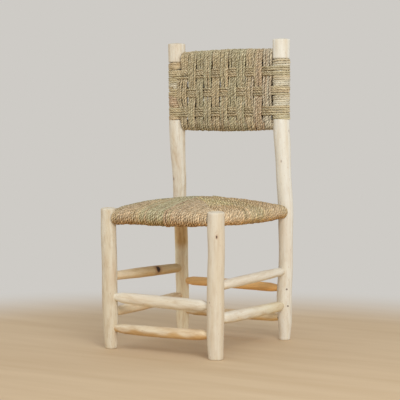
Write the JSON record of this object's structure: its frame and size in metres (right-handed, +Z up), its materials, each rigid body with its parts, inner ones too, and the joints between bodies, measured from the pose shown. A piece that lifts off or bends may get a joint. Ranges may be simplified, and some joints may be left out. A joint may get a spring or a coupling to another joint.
{
  "type": "child's ladder-frame chair with a woven palm cord seat and back",
  "caption": "Child's high-backed chair of round peeled poles, with turned-down rungs, a cord-woven seat and a basket-woven cord back panel.",
  "frame": {"origin": "on the floor, under the middle of the chair", "axes": "+Z up, the chair faces -Y, +X to the right as seen from in front"},
  "size_m": [0.3425, 0.352, 0.712],
  "materials": {
    "pale_wood": "peeled and shaved, unvarnished",
    "honey_wood": "darker wood, unvarnished",
    "palm_cord": "twisted dry palm leaf, matt",
    "nail_steel": "dull wire nail"
  },
  "bodies": {
    "root": {"front_leg_left": "pale_wood", "front_leg_right": "pale_wood", "back_post_left": "pale_wood", "back_post_right": "pale_wood", "rung_front_upper": "pale_wood", "rung_front_lower": "pale_wood", "rung_right_upper": "pale_wood", "rung_right_lower": "pale_wood", "rung_left_upper": "pale_wood", "rung_left_lower": "pale_wood", "rung_back_lower": "pale_wood", "rung_back_upper": "honey_wood", "seat_rail_front": "pale_wood", "seat_rail_back": "pale_wood", "seat_rail_left": "pale_wood", "seat_rail_right": "pale_wood", "back_rail_top": "pale_wood", "back_rail_bottom": "pale_wood", "seat_weave": "palm_cord", "back_warps": "palm_cord", "back_wefts": "palm_cord", "post_wrap_left": "palm_cord", "post_wrap_right": "palm_cord", "tenon_nails": "nail_steel"}
  },
  "joints": []
}
